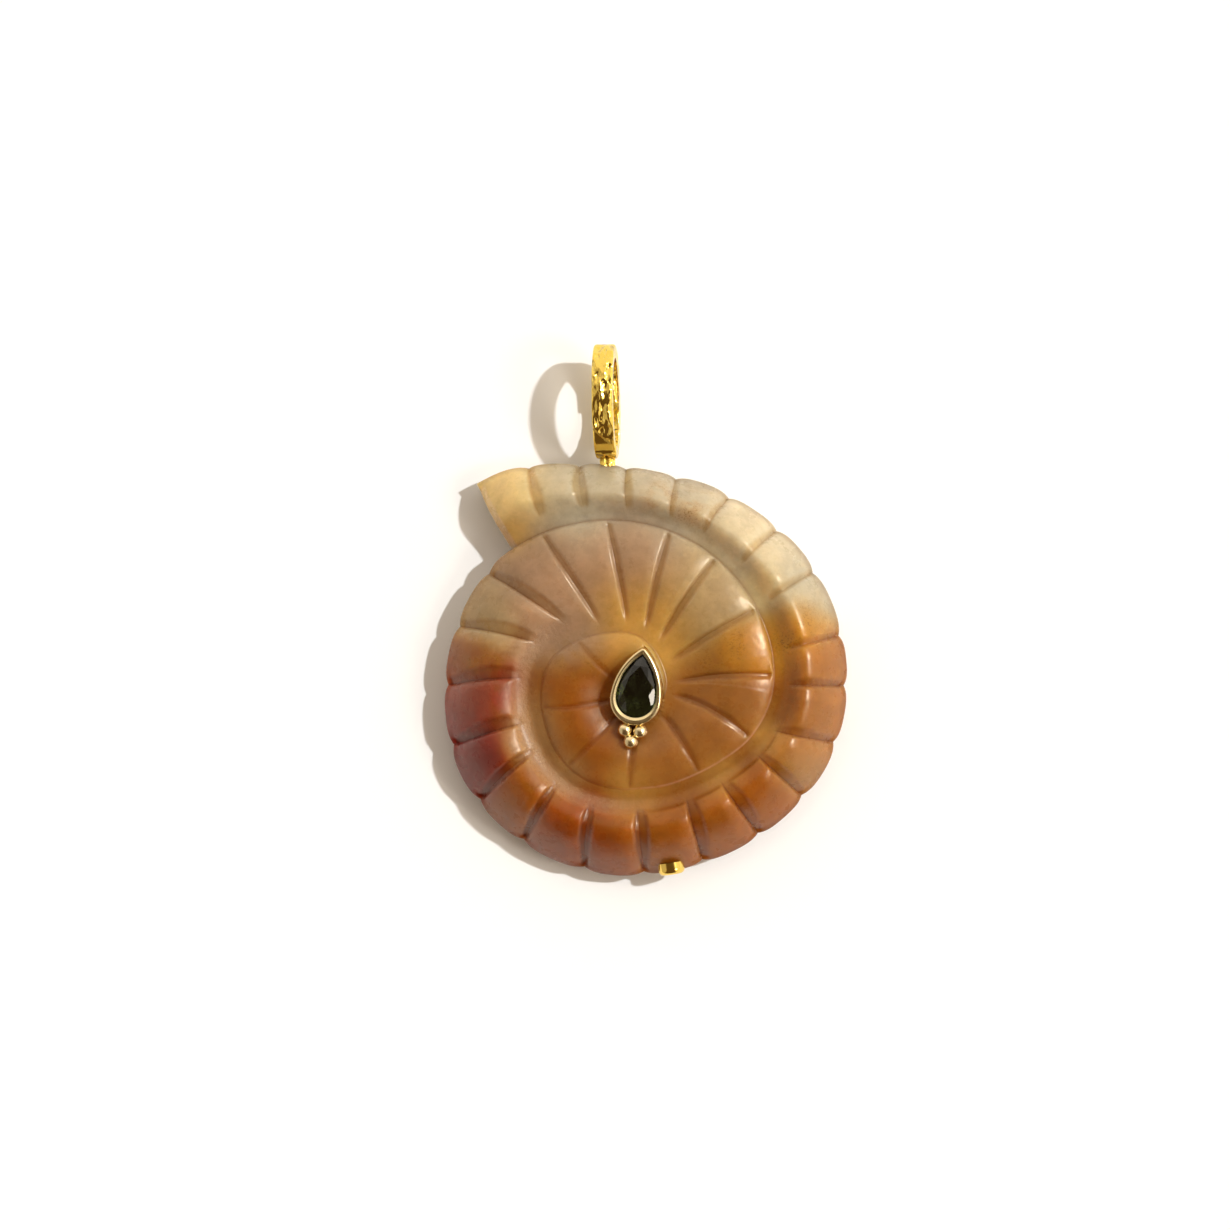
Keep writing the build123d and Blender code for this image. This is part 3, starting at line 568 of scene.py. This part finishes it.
def agate_material():
    """Cloudy translucent stone, with the colours and marks stored on the shell."""
    material, m = new_material("agate")
    place = m.place()
    stone = m.add("VertexColor", {"layer_name": "stone"}).outputs["Color"]
    clouds = m.level(m.noise(place, 130.0, 4.0).outputs["Fac"], 0.3, 0.7, 0.92, 1.08)
    mottle = m.level(m.noise(place, 620.0, 6.0, 0.7).outputs["Fac"], 0.3, 0.7, 0.90, 1.10)
    shade = m.math("MULTIPLY", clouds, mottle)
    grey = m.add("CombineColor", Red=shade, Green=shade, Blue=shade).outputs[0]
    colour = m.blend(stone, grey, 1.0, "MULTIPLY")
    # the grooves' floors are darker and yellower, and painted shade darkens the creases at the foot of a
    # steep side, the seam and the lobes' inner ends
    colour = m.blend(colour, rgba((235, 216, 176)), m.math("MULTIPLY", m.value("channel"), 0.65), "MULTIPLY")
    colour = m.blend(colour, rgba((176, 132, 100)), m.math("MULTIPLY", m.value("shade_lines"), 0.5), "MULTIPLY")
    # painted highlight along the next whorl's edge
    colour = m.blend(colour, rgba((226, 176, 144)), m.math("MULTIPLY", m.value("edge_highlight"), 0.5))
    uneven_stain = m.level(m.noise(place, 420.0, 5.0, 0.6).outputs["Fac"], 0.40, 0.62)
    stained = m.math("MULTIPLY", m.value("stain"), uneven_stain)
    colour = m.blend(colour, rgba((118, 68, 10)), m.math("MULTIPLY", stained, 0.5))
    # the frosted band's paler colour is partly ground stone and partly painted light on the slopes that face
    # the key light
    colour = m.blend(colour, rgba((196, 158, 126)), m.math("MULTIPLY", m.value("frost_and_light"), 0.22))
    # brown haze where specks gather, with darker dots in it
    clusters = m.level(m.noise(place, 500.0, 4.0, 0.6).outputs["Fac"], 0.36, 0.60)
    gathered = m.math("MULTIPLY", m.value("specks"), clusters)
    colour = m.blend(colour, rgba((156, 108, 30)), m.math("MULTIPLY", gathered, 0.5))
    dots = m.level(m.noise(place, 4200.0, 3.0, 0.6).outputs["Fac"], 0.50, 0.66)
    dotted = m.math("MULTIPLY", dots, gathered)
    colour = m.blend(colour, rgba((104, 70, 14)), m.math("MULTIPLY", dotted, 0.75))
    # painted shade: the colour at the very edge and on the side wall is greyer and darker
    colour = m.blend(colour, rgba((208, 203, 204)), m.math("SUBTRACT", 1.0, m.value("inland")), "MULTIPLY")
    grain = m.noise(place, 2400.0, 4.0, 0.7).outputs["Fac"]
    uneven = m.noise(place, 360.0, 2.0).outputs["Fac"]
    relief = m.math("MULTIPLY", grain, m.math("MULTIPLY_ADD", m.value("frost_and_light"), 6.0, 0.8))
    m.bump(m.math("MULTIPLY_ADD", uneven, 8.0, relief), 0.00002, 1.0)
    m.finish(
        Base_Color=colour,
        Roughness=m.level(m.noise(place, 700.0, 4.0, 0.6).outputs["Fac"], 0.35, 0.65, 0.25, 0.36),
        IOR=1.54,
        Specular_IOR_Level=0.28,
        Coat_Weight=0.35,
        Coat_Roughness=0.34,
        Specular_Tint=rgba((255, 226, 182)),
        Subsurface_Weight=1.0,
        Subsurface_Radius=(1.0, 0.8, 0.6),
        Subsurface_Scale=0.006,
    )
    return material


def gold_material(name, colour, hammered, rough=0.08):
    """Polished metal, hammered or plain."""
    material, m = new_material(name)
    place = m.place()
    wear = m.noise(place, 700.0).outputs["Fac"]
    if hammered:
        # long dents, but for the smooth foot
        axes = m.add("SeparateXYZ", Vector=place).outputs
        side = m.math("ABSOLUTE", m.math("SUBTRACT", axes[0], foot_middle * MM))
        above = m.math("SUBTRACT", axes[1], m.math("MULTIPLY_ADD", side, foot_rise, foot_top * MM))
        over_foot = m.level(above, -0.1 * MM, 0.2 * MM)
        behind_foot = m.level(axes[2], foot_front * MM, (foot_front - 0.7) * MM)
        dented = m.math("MAXIMUM", over_foot, behind_foot)
        slant = {"Rotation": (0, 0, math.radians(12)), "Scale": (1.0, 0.5, 0.6)}
        along = m.add("Mapping", Vector=place, **slant).outputs[0]
        warp = m.add("VectorMath", {"operation": "MULTIPLY_ADD"})
        drift = m.noise(along, 900.0, 2.0).outputs["Color"]
        m.feed(warp, {0: drift, 1: (0.6 * MM, 0.6 * MM, 0.6 * MM), 2: along})
        dents = m.add("TexVoronoi", {"feature": "SMOOTH_F1"}, Scale=1400.0, Smoothness=0.7)
        m.feed(dents, {"Vector": warp.outputs[0]})
        small = m.noise(along, 2600.0, 2.0).outputs["Fac"]
        height = m.math("MULTIPLY_ADD", small, 0.2, dents.outputs["Distance"])
        m.bump(m.math("MULTIPLY", height, dented), 0.0006, 1.0)
    else:
        m.bump(m.noise(place, 1800.0).outputs["Fac"], 0.00001, 0.6)
    m.finish(
        Base_Color=m.blend(rgba(colour), rgba([c * 0.9 for c in colour]), wear),
        Metallic=1.0,
        Roughness=m.level(wear, 0.3, 0.7, rough, rough + 0.08),
    )
    return material


def stone_material():
    """Dark green clear stone."""
    material, m = new_material("green_stone")
    place = m.place()
    tint = m.noise(place, 300.0).outputs["Fac"]
    m.finish(
        Base_Color=m.blend(rgba((100, 112, 78)), rgba((66, 78, 54)), tint),
        Roughness=0.02,
        IOR=1.66,
        Transmission_Weight=1.0,
    )
    return material


def floor_material():
    """Plain pale paper."""
    material, m = new_material("floor")
    paper = m.noise(m.place(), 40.0).outputs["Fac"]
    m.finish(
        Base_Color=m.blend((0.93, 0.93, 0.92, 1), (0.95, 0.95, 0.94, 1), paper),
        Roughness=0.7,
    )
    return material


def new_object(name, points, faces):
    """A mesh object from points in millimetres."""
    mesh = bpy.data.meshes.new(name)
    mesh.from_pydata((np.asarray(points) * MM).tolist(), [], [[int(i) for i in f] for f in faces])
    mesh.update()
    made = bpy.data.objects.new(name, mesh)
    bpy.context.scene.collection.objects.link(made)
    return made


def make_shell():
    """The carved shell, in place of the CAD model's faceted one."""
    points, faces, marks = shell_mesh()
    inside = in_bezel(points, 0.02)
    points[inside, 2] = np.minimum(points[inside, 2], bezel_seat)
    shell = new_object("carved_shell", points, faces)
    shell.data.shade_smooth()
    attribute(shell.data, "stone", stone_colours(points))
    for name, values in marks.items():
        attribute(shell.data, name, values)
    attribute(shell.data, "specks", spot_share(points, SPECKS))
    shell.data.materials.append(agate_material())
    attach(shell, "pendant")
    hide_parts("shell")


def make_camera():
    """A camera at the photograph's angle and scale."""
    tilt = math.radians(camera_tilt)
    right = Vector((math.cos(tilt), 0, -math.sin(tilt)))
    up = Vector((0, 1, 0))
    back = Vector((math.sin(tilt), 0, math.cos(tilt)))
    across = (pixels / 2 - centre_u) / pixels_per_mm
    above = (centre_v - pixels / 2) / pixels_per_mm
    target = Vector((0, 0, focus_z)) + right * across + up * above
    camera = bpy.data.objects.new("camera", bpy.data.cameras.new("camera"))
    camera.matrix_world = (
        Matrix.Translation((target + back * camera_distance) * MM)
        @ Matrix((right, up, back)).transposed().to_4x4()
    )
    view_width = pixels / pixels_per_mm
    camera.data.lens = camera.data.sensor_width * camera_distance / view_width
    camera.data.clip_start = 0.01
    camera.data.clip_end = 10
    bpy.context.scene.collection.objects.link(camera)
    bpy.context.scene.camera = camera


def make_light():
    """The key light and the room around the pendant."""
    elevation = math.radians(key_elevation)
    azimuth = math.radians(key_azimuth)
    towards = Vector((
        math.cos(elevation) * math.cos(azimuth),
        math.cos(elevation) * math.sin(azimuth),
        math.sin(elevation),
    ))
    key = bpy.data.objects.new("key", bpy.data.lights.new("key", "SUN"))
    key.data.energy = key_energy
    key.data.angle = math.radians(2.0)
    key.data.color = (0.96, 0.98, 1.0)
    key.rotation_mode = "QUATERNION"
    key.rotation_quaternion = towards.to_track_quat("Z", "Y")
    bpy.context.scene.collection.objects.link(key)

    # the room: bright windows beyond +Y and +X, and a dark figure from overhead to -Y
    world = bpy.data.worlds.new("studio")
    bpy.context.scene.world = world
    m = Nodes(world, "Background")
    axes = m.add("SeparateXYZ", Vector=m.place("Generated")).outputs
    windows = m.math("ADD", m.level(axes[1], 0.30, 0.60), m.level(axes[0], 0.45, 0.75))
    to_side = m.math("ABSOLUTE", axes[0])
    figure = m.math("MULTIPLY", m.level(axes[1], 0.30, 0.05), m.level(to_side, 0.68, 0.50))
    light = m.math("MULTIPLY_ADD", windows, 0.55, 0.62)
    dark = m.math("MULTIPLY", light, m.math("MULTIPLY_ADD", figure, -0.80, 1.0))
    # one small bright pane of the window
    pane = m.add("VectorMath", {"operation": "DOT_PRODUCT"})
    m.feed(pane, {0: m.place("Generated"), 1: PANE})
    glint = m.level(pane.outputs["Value"], math.cos(math.radians(9)), math.cos(math.radians(6)))
    strength = m.math("MULTIPLY_ADD", glint, 12.0, dark)
    m.finish(Color=m.blend((1.0, 0.89, 0.76, 1), (1.0, 0.62, 0.30, 1), figure), Strength=strength)


def make_floor():
    """The floor just below the pendant's back."""
    half = 600.0
    below = -0.02
    corners = [(-half, -half, below), (half, -half, below), (half, half, below), (-half, half, below)]
    floor = new_object("floor", corners, [(0, 1, 2, 3)])
    floor.data.materials.append(floor_material())


make_camera()
make_light()
make_floor()
make_shell()

gold = gold_material("hammered_gold", (255, 220, 108), True)
plain_gold = gold_material("plain_gold", (255, 218, 112), False)
pale_gold = gold_material("pale_gold", (246, 226, 176), False, 0.2)
FINISHES = {
    "bail": gold,
    "bail_gate": gold,
    "hinge_pin": plain_gold,
    "end_cap": plain_gold,
    "bezel": pale_gold,
    "pear_stone": stone_material(),
}
for name, material in FINISHES.items():
    nodes[name].data.materials.clear()
    nodes[name].data.materials.append(material)

bpy.context.scene.view_settings.view_transform = "Standard"
